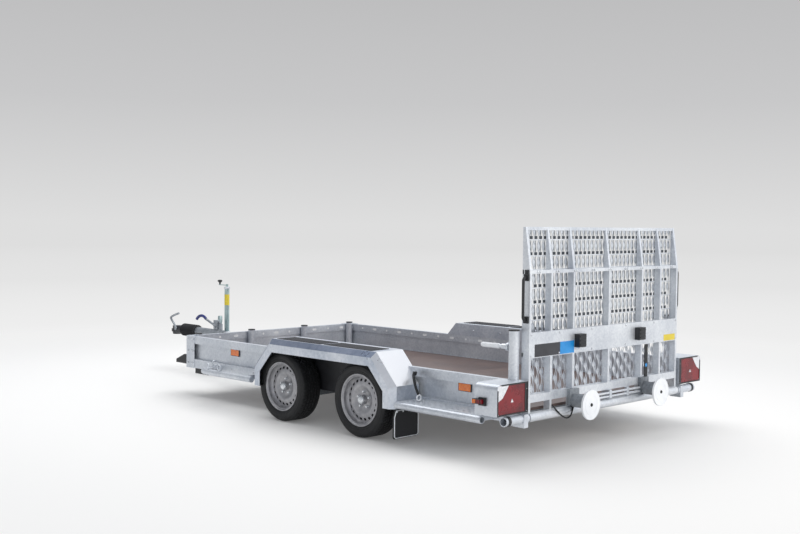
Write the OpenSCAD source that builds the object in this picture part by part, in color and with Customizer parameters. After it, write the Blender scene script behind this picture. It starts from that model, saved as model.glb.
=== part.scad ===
/* [Load bed] */
// Clear width between the side boards
bed_w = 1800; // [1500:10:2000]
// Reach of the front board ahead of the middle of the axles
bed_front = 1938; // [1700:1:2200]
// Reach of the bed's rear edge behind the middle of the axles
bed_rear = 1640; // [1450:1:1900]
// Height of the floor's top above the ground
floor_z = 323; // [315:1:360]
// Thickness of the plywood floor
floor_t = 18; // [12:1:21]
// Height of the side boards' top above the ground
board_z = 512; // [480:1:620]
// Width of the top rail
rail_w = 40; // [30:1:50]
// Depth of the top rail
rail_h = 62; // [40:1:80]
// Set-back of the panel from the rail's inner face
panel_set = 10; // [4:1:14]
// Thickness of folded sheet
sheet = 3; // [2:0.5:4]
// Depth of the lower side rail
sill_h = 75; // [60:1:78]
// Diameter of the front stake tubes
stake_d = 60; // [48:1:70]
// Height of the stake tubes above the boards' top
stake_rise = 14; // [5:1:40]

/* [Under frame] */
// Depth of a cross member
cross_h = 40; // [30:1:50]
// Width of a cross member
cross_w = 60; // [40:1:80]
// Depth of the drawbar beams
beam_h = 80; // [60:1:90]
// Width of the drawbar beams
beam_w = 60; // [50:1:80]
// Wall of the beams
beam_t = 5; // [3:0.5:8]
// Height of the drawbar head's top above the ground
head_z = 350; // [330:1:380]

/* [Wheels] */
// Distance between the two axles
axle_gap = 852; // [800:1:950]
// Clearance between the side rail and the tyre
wheel_gap = 6; // [5:1:30]
// Tyre diameter
tyre_d = 524; // [500:2:560]
// Tyre section width
tyre_w = 190; // [170:1:190]
// Bead seat diameter of the rim
rim_d = 330; // [320:1:340]
// Rim flange diameter
flange_d = 365; // [358:1:370]
// Number of vent holes in the wheel disc
vents = 16; // [8:1:20]
// Pitch circle diameter of the wheel bolts
bolt_pcd = 112; // [100:1:120]
// Number of wheel bolts
bolts = 5; // [4:1:6]
// Side of the square axle tube
axle_s = 70; // [60:1:70]
// Forward offset of the axle tube from the stub axle
arm_reach = 150; // [130:1:180]

/* [Mudguards] */
// Overhang of the outer face past the tyre
guard_cover = 52; // [30:1:80]
// Height of the top
guard_z = 616; // [590:1:680]
// Depth of the outer flange
guard_flange = 97; // [60:1:110]
// Size of the outer edge's bevel
guard_bevel = 38; // [20:1:45]
// Height of the lower ends above the ground
guard_low = 251; // [200:1:252]
// Reach of the front foot ahead of the front axle
guard_front = 279; // [272:1:300]
// Reach of the rear foot behind the rear axle
guard_rear = 395; // [290:1:398]
// Run of the sloping ends along the trailer
guard_slope_run = 198; // [150:1:220]
// Height of the slopes' lower corners above the ground
guard_knee = 403; // [340:1:450]

/* [Ramp] */
// Height of the hinge above the ground
hinge_z = 279; // [260:1:290]
// Distance of the hinge behind the bed's rear edge
hinge_back = 58; // [50:1:70]
// Radius of the hinge tube
hinge_r = 30; // [25:1:32]
// Set-in of the ramp's sides from the clear bed
ramp_side = 30; // [30:1:60]
// Height of the ramp's tip above the ground
ramp_top = 1472; // [1300:1:1700]
// Depth of the ramp's frame
ramp_d = 60; // [40:1:70]
// Width of a rib
rib_w = 20; // [12:1:30]
// Pitch of the grip mesh across the ramp
mesh_px = 48; // [40:1:60]
// Pitch of the grip mesh up the ramp
mesh_pz = 100; // [80:1:120]
// Width of a mesh strand
strand = 11; // [8:1:14]
// Thickness of the grip mesh
mesh_t = 12; // [4:1:14]
// Diameter of the white foot discs
foot_d = 195; // [150:1:220]
// Reach of the feet behind the ramp
foot_reach = 157; // [120:1:180]

/* [Lamps] */
// Overhang of the lamp housings past the mudguards
lamp_over = 2; // [0:1:10]
// Height of a lamp housing
lamp_h = 195; // [160:1:195]
// Height of the lamp housings' underside above the ground
lamp_z = 320; // [315:1:330]

/* [Drawbar head] */
// Reach of the coupling's nose ahead of the middle of the axles
nose_reach = 3570; // [3400:1:3800]
// Radius of the overrun housing
housing_r = 42; // [38:1:50]
// Length of the overrun housing
housing_l = 422; // [350:1:450]
// Length of the rubber bellows
gaiter_l = 258; // [200:1:280]
// Length of the coupling ahead of the bellows
coupling_l = 170; // [150:1:200]
// Distance of the jockey wheel's tube behind the nose
jockey_back = 703; // [680:1:740]
// Radius of the tow ball that the coupling takes
ball_r = 25; // [25:1:25]
// Distance of the jockey wheel's tube from the centreline
jockey_x = 150; // [145:1:170]
// Diameter of the jockey wheel's outer tube
jockey_d = 48; // [42:1:60]
// Height of the outer tube's top above the ground
jockey_top = 850; // [750:1:900]
// Diameter of the jockey wheel
jockey_wheel_d = 220; // [200:1:230]

/* [Hidden] */
$fn = 48;

// The origin is on the ground under the middle of the overall length.
hinge_reach = bed_rear + hinge_back;
ramp_rear = hinge_reach + 7;
rear_reach = ramp_rear + foot_reach;
y0 = -(nose_reach - rear_reach) / 2;
front_y = y0 + bed_front;
rear_y = y0 - bed_rear;
hinge_y = y0 - hinge_reach;
ramp_back_y = y0 - ramp_rear;
ramp_face_y = ramp_back_y + ramp_d;
nose_y = y0 + nose_reach;
axle_front_y = y0 + axle_gap / 2;
axle_rear_y = y0 - axle_gap / 2;
gaiter_front_y = nose_y - coupling_l;
housing_front_y = gaiter_front_y - gaiter_l;
housing_rear_y = housing_front_y - housing_l;

half_bed = bed_w / 2;
rail_x = half_bed + rail_w;
wheel_x = rail_x + wheel_gap + tyre_w / 2;
guard_x = rail_x + wheel_gap + tyre_w + guard_cover;
lamp_x = guard_x + lamp_over;
ramp_w = bed_w - 2 * ramp_side;
panel_x = half_bed + panel_set;
sill_z = floor_z - 3;
sill_low = sill_z - sill_h;
deck_z = floor_z - floor_t;
cross_low = deck_z - cross_h;
beam_low = cross_low - beam_h;
axle_r = tyre_d / 2;
slip = 0.3;

// Copies of a left-hand piece on both sides
module both() {
    children();
    mirror([1, 0, 0]) children();
}

// Box from its low corner to its high corner
module block(low, high) {
    translate(low) cube(high - low);
}

// Cylinder along X between two places
module rod_x(x1, x2, y, z, r) {
    translate([x1, y, z]) rotate([0, 90, 0]) cylinder(r = r, h = x2 - x1);
}

// Cylinder along Y between two places
module rod_y(y1, y2, x, z, r) {
    translate([x, y1, z]) rotate([-90, 0, 0]) cylinder(r = r, h = y2 - y1);
}

// Outline in X and Z, drawn out along Y between two places
module along_y(y1, y2) {
    translate([0, y2, 0]) rotate([90, 0, 0]) linear_extrude(height = y2 - y1) children();
}

// Outline in Y and Z, drawn out along X between two places
module along_x(x1, x2) {
    translate([x1, 0, 0]) rotate([90, 0, 90]) linear_extrude(height = x2 - x1) children();
}

// Folded board section: u outwards from the clear bed, then the height
board_section = [
    [0, board_z], [rail_w, board_z], [rail_w, board_z - rail_h],
    [rail_w - sheet, board_z - rail_h], [rail_w - sheet, board_z - sheet],
    [sheet, board_z - sheet], [sheet, board_z - rail_h + sheet],
    [panel_set + sheet, board_z - rail_h + sheet], [panel_set + sheet, sill_z],
    [panel_set, sill_z], [panel_set, board_z - rail_h], [0, board_z - rail_h]
];

// Rear posts stand behind the side boards' ends
post_r = 34;
post_x = half_bed + 9;
post_top = 820;
post_y = rear_y + post_r - 10;
board_end_y = post_y + post_r;

module side_boards() color("#c3c9d0") {
    both() along_y(board_end_y, front_y)
        translate([half_bed, 0]) polygon(board_section);
}

// The stub axles pass under the sills in the wheel bay
bay_front = axle_gap / 2 + 214;
bay_notch = 12;
module sills() color("#b4bac1") {
    both() difference() {
        along_y(rear_y, front_y) difference() {
            translate([half_bed, sill_low]) square([rail_w, sill_h]);
            translate([half_bed + sheet, sill_low + sheet])
                square([rail_w - 2 * sheet, sill_h - 2 * sheet]);
        }
        block([half_bed - 1, y0 - bay_front, sill_low - 1],
              [rail_x + 1, y0 + bay_front, sill_z - bay_notch]);
    }
}

// Cross members by their distance from the middle of the axles
cross_at = [bed_front - rail_w + panel_set - cross_w / 2, 1300, 790, 0, -790, -1250, -bed_rear + 40];
module cross_members() color("#a9afb6") {
    for (at = cross_at)
        along_x(-half_bed, half_bed) translate([y0 + at, cross_low]) difference() {
            translate([-cross_w / 2, 0]) square([cross_w, cross_h]);
            translate([-cross_w / 2 + 4, -1]) square([cross_w - 8, cross_h - 3]);
        }
}

chassis_x = 600;
chassis_front = 1080;
axle_z = 170;
chassis_low = axle_z + axle_s / 2;
module chassis_beams() color("#a9afb6") {
    both() along_y(y0 - bed_rear + 90, y0 + chassis_front) difference() {
        translate([chassis_x, chassis_low]) square([beam_w, cross_low - chassis_low]);
        translate([chassis_x + beam_t, chassis_low + beam_t])
            square([beam_w - 2 * beam_t, cross_low - chassis_low - 2 * beam_t]);
    }
}

// Drawbar stations: x of the middle line, distance from the axles, underside height
head_end = nose_reach - 580;
drawbar_path = [
    [chassis_x - beam_w, bed_front - 676, beam_low],
    [330, bed_front + 72, beam_low],
    [135, head_end - 390, head_z - beam_h],
    [beam_w / 2 + housing_r, head_end, head_z - beam_h]
];
module drawbar_slice(at, inset) {
    translate([at[0] - beam_w / 2 + inset, y0 + at[1], at[2] + inset])
        cube([beam_w - 2 * inset, 0.02, beam_h - 2 * inset]);
}
module drawbar() color("#b9bfc6") {
    for (i = [0 : len(drawbar_path) - 2])
        hull() {
            drawbar_slice(drawbar_path[i], 0);
            drawbar_slice(drawbar_path[i + 1], 0);
        }
}
module drawbar_right() { drawbar(); }
module drawbar_left() { mirror([1, 0, 0]) drawbar(); }

module front_board() color("#c3c9d0") {
    difference() {
        along_x(-half_bed, half_bed) translate([front_y - rail_w, 0]) polygon(board_section);
    }
    block([-half_bed, front_y - rail_w + panel_set, cross_low],
          [half_bed, front_y, sill_z]);
}

plate_reach = 113;
module corner_plates() color("#c9ced4") {
    both() {
        block([rail_x, front_y - plate_reach, sill_low - 3], [rail_x + sheet, front_y + sheet, board_z + 3]);
        block([rail_x - plate_reach, front_y, sill_low - 3], [rail_x, front_y + sheet, board_z + 3]);
    }
}

stake_xs = [305, half_bed - stake_d / 2];
stake_y = front_y - rail_w - stake_d / 2;
cap_t = 8;
// The stake tubes stand on the front cross member, in notches of the floor
module floor() color("#4b3a33") {
    difference() {
        block([-half_bed + 1, rear_y, deck_z], [half_bed - 1, front_y - rail_w - slip, floor_z]);
        both() block([post_x - post_r - 1, rear_y - 1, deck_z - 1],
                     [half_bed, board_end_y + 1, floor_z + 1]);
        for (x = stake_xs)
            both() block([x - stake_d / 2 - 1, stake_y - stake_d / 2 - 1, deck_z - 1],
                         [x + stake_d / 2 + 1, front_y, floor_z + 1]);
    }
}
module stake_tubes() color("#c9ced4") {
    for (x = stake_xs)
        both() translate([x, stake_y, deck_z]) difference() {
            cylinder(d = stake_d, h = board_z + stake_rise - deck_z);
            translate([0, 0, 5]) cylinder(d = stake_d - 8, h = board_z + stake_rise - deck_z);
        }
}

module cap(d) {
    cylinder(d = d + 2, h = cap_t);
    translate([0, 0, -12]) cylinder(d = d - 9, h = 12);
}
module caps() color("#22242a") {
    for (x = stake_xs)
        both() translate([x, stake_y, board_z + stake_rise]) cap(stake_d);
    both() translate([post_x, post_y, post_top]) cap(2 * post_r);
}

module rear_posts() color("#9aa0a8") {
    both() translate([post_x, post_y, sill_z]) difference() {
        cylinder(r = post_r, h = post_top - sill_z);
        translate([0, 0, 5]) cylinder(r = post_r - 4, h = post_top - sill_z);
    }
}

// Mudguard outline in Y and Z, from the front foot over the wheels to the rear foot
guard_front_y = axle_front_y + guard_front;
guard_rear_y = axle_rear_y - guard_rear;
guard_path = [
    [guard_front_y, guard_low], [guard_front_y, guard_knee],
    [guard_front_y - guard_slope_run, guard_z], [guard_rear_y + guard_slope_run, guard_z],
    [guard_rear_y, guard_knee], [guard_rear_y, guard_low]
];
// Sheet section outside the rail: x, then the depth inwards from the outline
guard_section = [
    [rail_x, 0], [guard_x - guard_bevel, 0], [guard_x, guard_bevel], [guard_x, guard_flange],
    [guard_x - sheet, guard_flange], [guard_x - sheet, guard_bevel + 1],
    [guard_x - guard_bevel - 1, sheet], [rail_x, sheet]
];
function unit(v) = v / norm(v);
function inward(a, b) = let (d = unit(b - a)) [d[1], -d[0]];
// Mitred step inwards at a corner of a path, for one unit of depth
function mitre(path, i) =
    let (n = len(path),
         before = inward(path[max(i - 1, 0)], path[max(i, 1)]),
         after = inward(path[min(i, n - 2)], path[min(i + 1, n - 1)]),
         m = before + after)
    m / (1 + before * after);
module sheet_along(path, section) {
    n = len(section);
    steps = len(path);
    points = [for (i = [0 : steps - 1]) for (s = section)
        let (at = path[i] - mitre(path, i) * s[1]) [s[0], at[0], at[1]]];
    sides = [for (i = [0 : steps - 2]) for (j = [0 : n - 1])
        [i * n + j, i * n + (j + 1) % n, (i + 1) * n + (j + 1) % n, (i + 1) * n + j]];
    first = [[for (j = [n - 1 : -1 : 0]) j]];
    last = [[for (j = [0 : n - 1]) (steps - 1) * n + j]];
    polyhedron(points = points, faces = concat(sides, first, last));
}
function inset(path, i, depth) = path[i] - mitre(path, i) * depth;
// Place on a slope at a height
function at_height(a, b, z) = [a[0] + (b[0] - a[0]) * (z - a[1]) / (b[1] - a[1]), z];
// The part over the rail stands on the boards' top
guard_over = [
    at_height(guard_path[1], guard_path[2], board_z), guard_path[2],
    guard_path[3], at_height(guard_path[4], guard_path[3], board_z)
];
guard_under = [
    at_height(inset(guard_path, 4, sheet), inset(guard_path, 3, sheet), board_z),
    inset(guard_path, 3, sheet), inset(guard_path, 2, sheet),
    at_height(inset(guard_path, 1, sheet), inset(guard_path, 2, sheet), board_z)
];
module mudguards() color("#aeb6c0") {
    both() {
        sheet_along(guard_path, guard_section);
        along_x(half_bed + sheet, rail_x) polygon(concat(guard_over, guard_under));
        along_x(half_bed, half_bed + sheet) polygon(guard_over);
    }
}

// Anti-slip strips: distance of the front and rear ends from the axles' middle
tread_front = guard_front_y - guard_slope_run - 39;
tread_rear = guard_rear_y + guard_slope_run + 72;
tread_split = 36;
tread_mid = (tread_front + tread_rear) / 2;
tread_runs = [[tread_front, tread_mid + tread_split / 2], [tread_mid - tread_split / 2, tread_rear]];
tread_in = 60;
tread_out = guard_x - guard_bevel - 18;
tread_t = 3;
module guard_treads() color("#1f2126") {
    both() for (run = tread_runs)
        block([half_bed + tread_in, run[1], guard_z], [tread_out, run[0], guard_z + tread_t]);
}

flap_in = rail_x + 4;
flap_out = guard_x - 5;
flap_low = 54;
flap_top = guard_low;
flap_t = 8;
flap_y = guard_rear_y + 2;
module mudflaps() color("#1b1d22") {
    both() along_y(flap_y - flap_t, flap_y) polygon([
        [flap_in, flap_low + 10], [flap_in + 10, flap_low], [flap_out - 10, flap_low],
        [flap_out, flap_low + 10], [flap_out, flap_top - 48], [flap_out - 18, flap_top],
        [flap_in + 18, flap_top], [flap_in, flap_top - 48]
    ]);
}

// Trailing arm torsion axle with its stub axles and brake back plates
arm_in = half_bed - 20;
arm_t = 34;
arm_r = axle_s / 2 - 5;
arm_h = 44;
boss_r = 40;
stub_r = 22;
plate_r = 112;
plate_t = 5;
plate_x = rail_x + wheel_gap;
module axle(y) color("#8f959d") {
    tube_y = y + arm_reach;
    block([-arm_in, tube_y - axle_s / 2, axle_z - axle_s / 2],
          [arm_in, tube_y + axle_s / 2, axle_z + axle_s / 2]);
    both() {
        rod_x(arm_in - 1, arm_in + arm_t, tube_y, axle_z, arm_r);
        rod_x(arm_in + 2, arm_in + arm_t, y, axle_r, arm_r);
        translate([arm_in + 2, y, axle_r])
            rotate([atan2(axle_z - axle_r, arm_reach), 0, 0])
                translate([0, 0, -arm_h / 2]) cube([arm_t - 4, norm([arm_reach, axle_r - axle_z]), arm_h]);
        rod_x(arm_in + arm_t - 1, plate_x + 1, y, axle_r, boss_r);
        rod_x(plate_x, plate_x + plate_t, y, axle_r, plate_r);
        rod_x(plate_x + plate_t - 1, wheel_x + 10, y, axle_r, stub_r);
    }
}
module axle_front() { axle(axle_front_y); }
module axle_rear() { axle(axle_rear_y); }

rod_z = axle_z + axle_s / 2 + 12;
rod_r = 7;
rod_rear_y = axle_rear_y + arm_reach + axle_s;
rod_kink_y = y0 + drawbar_path[1][1];
rod_front_y = housing_rear_y + 25;
rod_rise = head_z - 24 - rod_z;
module brake_rod() color("#7d838b") {
    rod_y(rod_rear_y, rod_kink_y, 0, rod_z, rod_r);
    translate([0, rod_kink_y, rod_z]) sphere(r = rod_r + 2);
    translate([0, rod_kink_y, rod_z]) rotate([atan2(rod_rise, rod_front_y - rod_kink_y) - 90, 0, 0])
        cylinder(r = rod_r, h = norm([rod_rise, rod_front_y - rod_kink_y]));
    block([-90, rod_rear_y - 12, rod_z - 12], [90, rod_rear_y, rod_z + 12]);
    for (at = [cross_at[1], cross_at[3]])
        block([-4, y0 + at + cross_w / 2 - 14, rod_z], [4, y0 + at + cross_w / 2, cross_low]);
}

// Side step behind each mudguard
step_x = guard_x - 38;
tube_r = 24;
tube_z = 280;
step_front_y = guard_rear_y - 3;
step_rear_y = rear_y + 72;
step_t = 4;
strut_in = 46;
struts = 3;
module strut(y) {
    block([rail_x, y - 4, tube_z - 18], [step_x - tube_r + 2, y + 4, tube_z + 18]);
}
module steps() color("#b9c1ca") {
    both() {
        difference() {
            block([rail_x, step_rear_y, tube_z + tube_r - 2],
                  [step_x, step_front_y, tube_z + tube_r + step_t - 2]);
            for (i = [0 : 13])
                for (j = [0 : 2])
                    translate([rail_x + 50 + 52 * j, step_front_y - 45 - 50 * i, tube_z])
                        cylinder(r = 11, h = 60, $fn = 24);
        }
        difference() {
            rod_y(step_rear_y, step_front_y, step_x, tube_z, tube_r);
            rod_y(step_rear_y - 1, step_front_y + 1, step_x, tube_z, tube_r - 4);
        }
        for (i = [0 : struts - 1])
            strut(step_front_y - strut_in - i * (step_front_y - step_rear_y - 2 * strut_in) / (struts - 1));
    }
}

// Bent side tube ahead of each mudguard
bend_r = 90;
side_rear_y = guard_front_y + 50;
side_front_y = front_y - 582;
module side_tubes() color("#b9c1ca") {
    both() {
        rod_y(side_rear_y, side_front_y, step_x, tube_z, tube_r);
        translate([step_x - bend_r, side_front_y, tube_z])
            rotate_extrude(angle = 90) translate([bend_r, 0]) circle(r = tube_r);
        rod_x(rail_x, step_x - bend_r, side_front_y + bend_r, tube_z, tube_r);
        strut(side_rear_y + 95);
    }
}

// Wheel chocks: distance of the low end from the axles' middle, then the underside
chock_l = 190;
chock_h = 80;
chock_w = 120;
module chock() {
    along_x(-chock_w / 2, chock_w / 2) polygon([
        [0, 0], [chock_l, 0], [chock_l, 28], [70, chock_h], [0, chock_h]
    ]);
}
module wheel_chocks() color("#17191d") {
    translate([-half_bed + 40, front_y + sheet, sill_low + 20]) chock();
    translate([-half_bed + 90, front_y - 23, cross_low - chock_h]) mirror([0, 1, 0]) chock();
}

reflector_at = [1280, -1219];
module reflectors() color("#f07a14") {
    both() for (at = reflector_at)
        block([panel_x + sheet, y0 + at - 52, board_z - rail_h - 54],
              [panel_x + sheet + 9, y0 + at + 52, board_z - rail_h - 4]);
}

// Lamp housing behind each rear post
lamp_in = half_bed - 8;
lamp_back_y = rear_y - 80;
lamp_mid_y = post_y - post_r - slip;
lamp_front_y = rear_y + 100;
lamp_round = 34;
module lamp_outline(x1, x2, z1, z2, r) {
    translate([x1, z1]) square([x2 - x1, z2 - z1 - r]);
    translate([x1, z1]) square([x2 - x1 - r, z2 - z1]);
    translate([x2 - r, z2 - r]) circle(r = r);
}
module lamp_housings() color("#a4abb4") {
    both() difference() {
        union() {
            along_y(lamp_back_y, lamp_mid_y)
                lamp_outline(lamp_in, lamp_x, lamp_z, lamp_z + lamp_h, lamp_round);
            along_y(lamp_mid_y - 1, lamp_front_y)
                lamp_outline(rail_x + 6, lamp_x, lamp_z, lamp_z + lamp_h, lamp_round);
        }
        along_y(lamp_back_y - 1, lamp_mid_y - sheet)
            lamp_outline(lamp_in + sheet, lamp_x - sheet, lamp_z + sheet,
                         lamp_z + lamp_h - sheet, lamp_round - sheet);
        along_y(lamp_mid_y - sheet - 1, lamp_front_y - sheet)
            lamp_outline(rail_x + 6 + sheet, lamp_x - sheet, lamp_z + sheet,
                         lamp_z + lamp_h - sheet, lamp_round - sheet);
    }
}

module tail_lamps() color("#a3162a") {
    both() along_y(lamp_back_y + 2, lamp_mid_y - sheet - 1)
        lamp_outline(lamp_in + sheet, lamp_x - sheet, lamp_z + sheet,
                     lamp_z + lamp_h - sheet, lamp_round - sheet);
}

module marker_lamps() color("#1b1d20") {
    both() {
        block([lamp_x, rear_y + 5, lamp_z + 60], [lamp_x + 12, rear_y + 60, lamp_z + 110]);
        block([lamp_x + 8, rear_y + 30, lamp_z + 70], [lamp_x + 32, rear_y + 96, lamp_z + 100]);
    }
}

latch_z = 715;
module latches() color("#c7c9c4") {
    both() {
        rod_y(post_y + post_r, post_y + post_r + 60, post_x, latch_z, 18);
        rod_y(post_y + post_r + 60, post_y + post_r + 230, post_x, latch_z, 12);
    }
}

// Hinge: fixed ends on the bed, with pins in the ramp's sleeve
hinge_in = ramp_w / 2 + 10;
hinge_out = lamp_x - 87;
pin_r = 18;
module hinge_ends() color("#b9bfc6") {
    both() {
        difference() {
            rod_x(hinge_in, hinge_out, hinge_y, hinge_z, hinge_r);
            rod_x(hinge_in + 40, hinge_out + 1, hinge_y, hinge_z, hinge_r - 5);
        }
        rod_x(hinge_in - 60, hinge_in + 1, hinge_y, hinge_z, pin_r);
        difference() {
            block([half_bed, hinge_y - hinge_r - 2, sill_low - 20],
                  [rail_x, rear_y, hinge_z + hinge_r]);
            rod_x(half_bed - 1, rail_x + 1, hinge_y, hinge_z, hinge_r - 5);
        }
    }
}

// Drawbar head
housing_z = head_z + 6 + housing_r;
module overrun_housing() color("#aab0b8") {
    difference() {
        union() {
            rod_y(housing_rear_y, housing_front_y, 0, housing_z, housing_r);
            block([-beam_w - housing_r, y0 + head_end - 250, head_z],
                  [beam_w + housing_r, y0 + head_end - 5, head_z + 8]);
            block([-8, housing_rear_y + 20, housing_z + housing_r - 6],
                  [8, housing_rear_y + 140, housing_z + housing_r + 60]);
        }
        rod_y(housing_rear_y - 1, housing_front_y + 1, 0, housing_z, 26);
    }
}

// Rubber bellows round the drawbar tube
fold = 22;
module gaiter() color("#15171a") {
    folds = floor((gaiter_front_y - housing_front_y) / fold);
    translate([0, housing_front_y, housing_z]) rotate([-90, 0, 0])
        rotate_extrude() polygon(concat(
            [[25.5, 0]],
            [for (i = [0 : folds - 1]) each [[48, i * fold + 3], [62, i * fold + fold / 2]]],
            [[48, folds * fold], [25.5, folds * fold]]
        ));
}

ball_y = nose_y - 62;
coupling_z = housing_z - 8;
module coupling() color("#b3b8be") {
    rod_y(housing_rear_y + 40, gaiter_front_y + 30, 0, housing_z, 25);
    difference() {
        union() {
            hull() {
                rod_y(gaiter_front_y + 2, gaiter_front_y + 12, 0, housing_z, 40);
                translate([0, ball_y, coupling_z - 34]) cylinder(r = 46, h = 74, $fn = 32);
            }
            translate([0, ball_y, coupling_z - 44]) cylinder(r = 44, h = 30);
            translate([0, nose_y - 50, coupling_z - 20]) cylinder(r = 50, h = 30);
        }
        translate([0, ball_y, coupling_z - 45]) cylinder(r = ball_r + 0.5, h = 45);
        translate([0, ball_y, coupling_z]) sphere(r = ball_r + 0.5);
    }
}

module handbrake() color("#b5bac1") {
    translate([0, housing_rear_y + 100, housing_z + housing_r + 1])
        block([-22, -30, 0], [-8 - slip, 30, 90]);
}

// Jockey wheel: outer tube on the drawbar, inner tube, fork and wheel
jockey_y = nose_y - jockey_back;
jockey_r = jockey_d / 2;
jockey_low = 302;
leg_r = 19;
fork_top = 246;
// Outer side of the drawbar beam beside the clamp
beam_from = drawbar_path[2];
beam_to = drawbar_path[3];
clamp_x = beam_from[0] + (beam_to[0] - beam_from[0]) * (jockey_y - 22 - y0 - beam_from[1])
    / (beam_to[1] - beam_from[1]) + beam_w / 2 + slip;
module jockey_tube() color("#c2c8ce") {
    difference() {
        union() {
            translate([jockey_x, jockey_y, jockey_low]) cylinder(r = jockey_r, h = jockey_top - jockey_low);
            block([clamp_x, jockey_y - 22, head_z - beam_h + 20], [jockey_x, jockey_y + 22, head_z + 40]);
        }
        translate([jockey_x, jockey_y, jockey_low - 40]) cylinder(r = leg_r + slip, h = jockey_top - jockey_low + 20);
    }
    translate([jockey_x, jockey_y, jockey_top - 6]) cylinder(r = 12, h = 30);
    block([jockey_x - 6, jockey_y, jockey_top + 10], [jockey_x + 6, jockey_y + 130, jockey_top + 18]);
}

module jockey_leg() color("#aab0b7") {
    translate([jockey_x, jockey_y, fork_top]) cylinder(r = leg_r, h = 460);
}

castor = 45;
jockey_axle_z = jockey_wheel_d / 2;
jockey_wheel_w = 58;
module jockey_fork() color("#b9bfc6") {
    x1 = jockey_wheel_w / 2 + 5;
    translate([jockey_x, jockey_y, 0]) {
        block([-x1 - 5, -castor - 26, fork_top - 6], [x1 + 5, 26, fork_top - slip]);
        for (s = [-1, 1])
            difference() {
                translate([s * (x1 + 2.5), 0, 0]) union() {
                    along_x(-2.5, 2.5) polygon([
                        [26, fork_top - 4], [-castor - 26, fork_top - 4],
                        [-castor - 22, jockey_axle_z - 20], [-castor + 22, jockey_axle_z - 20]
                    ]);
                }
                rod_x(-x1 - 20, x1 + 20, -castor, jockey_axle_z, 8.3);
            }
    }
}

module jockey_wheel() color("#24262a") {
    translate([jockey_x, jockey_y - castor, jockey_axle_z]) rotate([0, 90, 0])
        translate([0, 0, -jockey_wheel_w / 2]) {
            cylinder(d = jockey_wheel_d, h = jockey_wheel_w, $fn = 64);
        }
    rod_x(jockey_x - jockey_wheel_w / 2 - 14, jockey_x + jockey_wheel_w / 2 + 14,
          jockey_y - castor, jockey_axle_z, 8);
}

// Ramp, upright behind the bed
rib_xs = [ramp_w / 2 - rib_w / 2, 642, 404];
band_low = 650;
band_high = 810;
foot_strip_low = 370;
foot_strip_high = 420;
joint_z = 1190;
tip_d = 20;
sleeve_gap = slip;
rib_back_y = ramp_face_y - mesh_t;
module rib(x) {
    along_x(x - rib_w / 2, x + rib_w / 2) polygon([
        [ramp_back_y, hinge_z + 10], [ramp_back_y, joint_z],
        [ramp_face_y - tip_d, ramp_top], [rib_back_y, ramp_top], [rib_back_y, hinge_z + 10]
    ]);
}
module ramp_frame() color("#cdd3da") {
    difference() {
        union() {
            rod_x(-ramp_w / 2, ramp_w / 2, hinge_y, hinge_z, hinge_r);
            rib(0);
            both() for (x = rib_xs) rib(x);
            block([-ramp_w / 2, ramp_back_y, foot_strip_low], [ramp_w / 2, rib_back_y, foot_strip_high]);
            block([-ramp_w / 2, ramp_back_y, band_low], [ramp_w / 2, ramp_back_y + 30, band_high]);
            block([-ramp_w / 2, ramp_back_y, joint_z - 11], [ramp_w / 2, rib_back_y, joint_z + 11]);
            block([-ramp_w / 2, ramp_face_y - tip_d, ramp_top - 22], [ramp_w / 2, rib_back_y, ramp_top]);
        }
        rod_x(-ramp_w / 2 - 1, ramp_w / 2 + 1, hinge_y, hinge_z, pin_r + sleeve_gap);
    }
}

// Grip mesh: long openings on a staggered grid
module mesh_panel(z1, z2) {
    rows = ceil((z2 - z1) / mesh_pz) + 1;
    cols = ceil(ramp_w / mesh_px / 2) + 1;
    hole_w = mesh_px - strand;
    hole_h = mesh_pz - 1.6 * strand;
    rim = 14;
    along_y(rib_back_y, ramp_face_y) difference() {
        translate([-ramp_w / 2, z1]) square([ramp_w, z2 - z1]);
        intersection() {
            translate([-ramp_w / 2 + rim, z1 + rim]) square([ramp_w - 2 * rim, z2 - z1 - 2 * rim]);
            for (half = [0, 1])
                for (i = [-cols : cols])
                    for (j = [-1 : rows])
                        translate([(i + half / 2) * mesh_px, z1 + (j + half / 2) * mesh_pz])
                            polygon([[0, -hole_h / 2], [hole_w / 2, -hole_h / 8], [hole_w / 2, hole_h / 8],
                                     [0, hole_h / 2], [-hole_w / 2, hole_h / 8], [-hole_w / 2, -hole_h / 8]]);
        }
    }
}
module ramp_mesh_low() color("#dfe3e8") { mesh_panel(foot_strip_low, band_low + 20); }
module ramp_mesh_mid() color("#dfe3e8") { mesh_panel(band_low + 20, joint_z); }
module ramp_mesh_tip() color("#dfe3e8") { mesh_panel(joint_z, ramp_top); }

handle_z = [891, 1156];
handle_y = ramp_back_y + 24;
handle_x = ramp_w / 2 + 36;
handle_r = 9;
handle_bend = 20;
module handle_corner() {
    rod_x(ramp_w / 2, handle_x - handle_bend, handle_y, 0, handle_r);
    translate([handle_x - handle_bend, handle_y, -handle_bend]) rotate([90, 0, 0])
        rotate_extrude(angle = 90) translate([handle_bend, 0]) circle(r = handle_r);
}
module ramp_handles() color("#1e2024") {
    both() {
        translate([0, 0, handle_z[1]]) handle_corner();
        translate([0, 0, handle_z[0]]) mirror([0, 0, 1]) handle_corner();
        translate([handle_x, handle_y, handle_z[0] + handle_bend])
            cylinder(r = handle_r, h = handle_z[1] - handle_z[0] - 2 * handle_bend);
    }
}

plate_lamp_x = 355;
module plate_lamps() color("#17191d") {
    both() block([plate_lamp_x - 38, ramp_back_y - 40, 689], [plate_lamp_x + 38, ramp_back_y, 775]);
}

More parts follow.
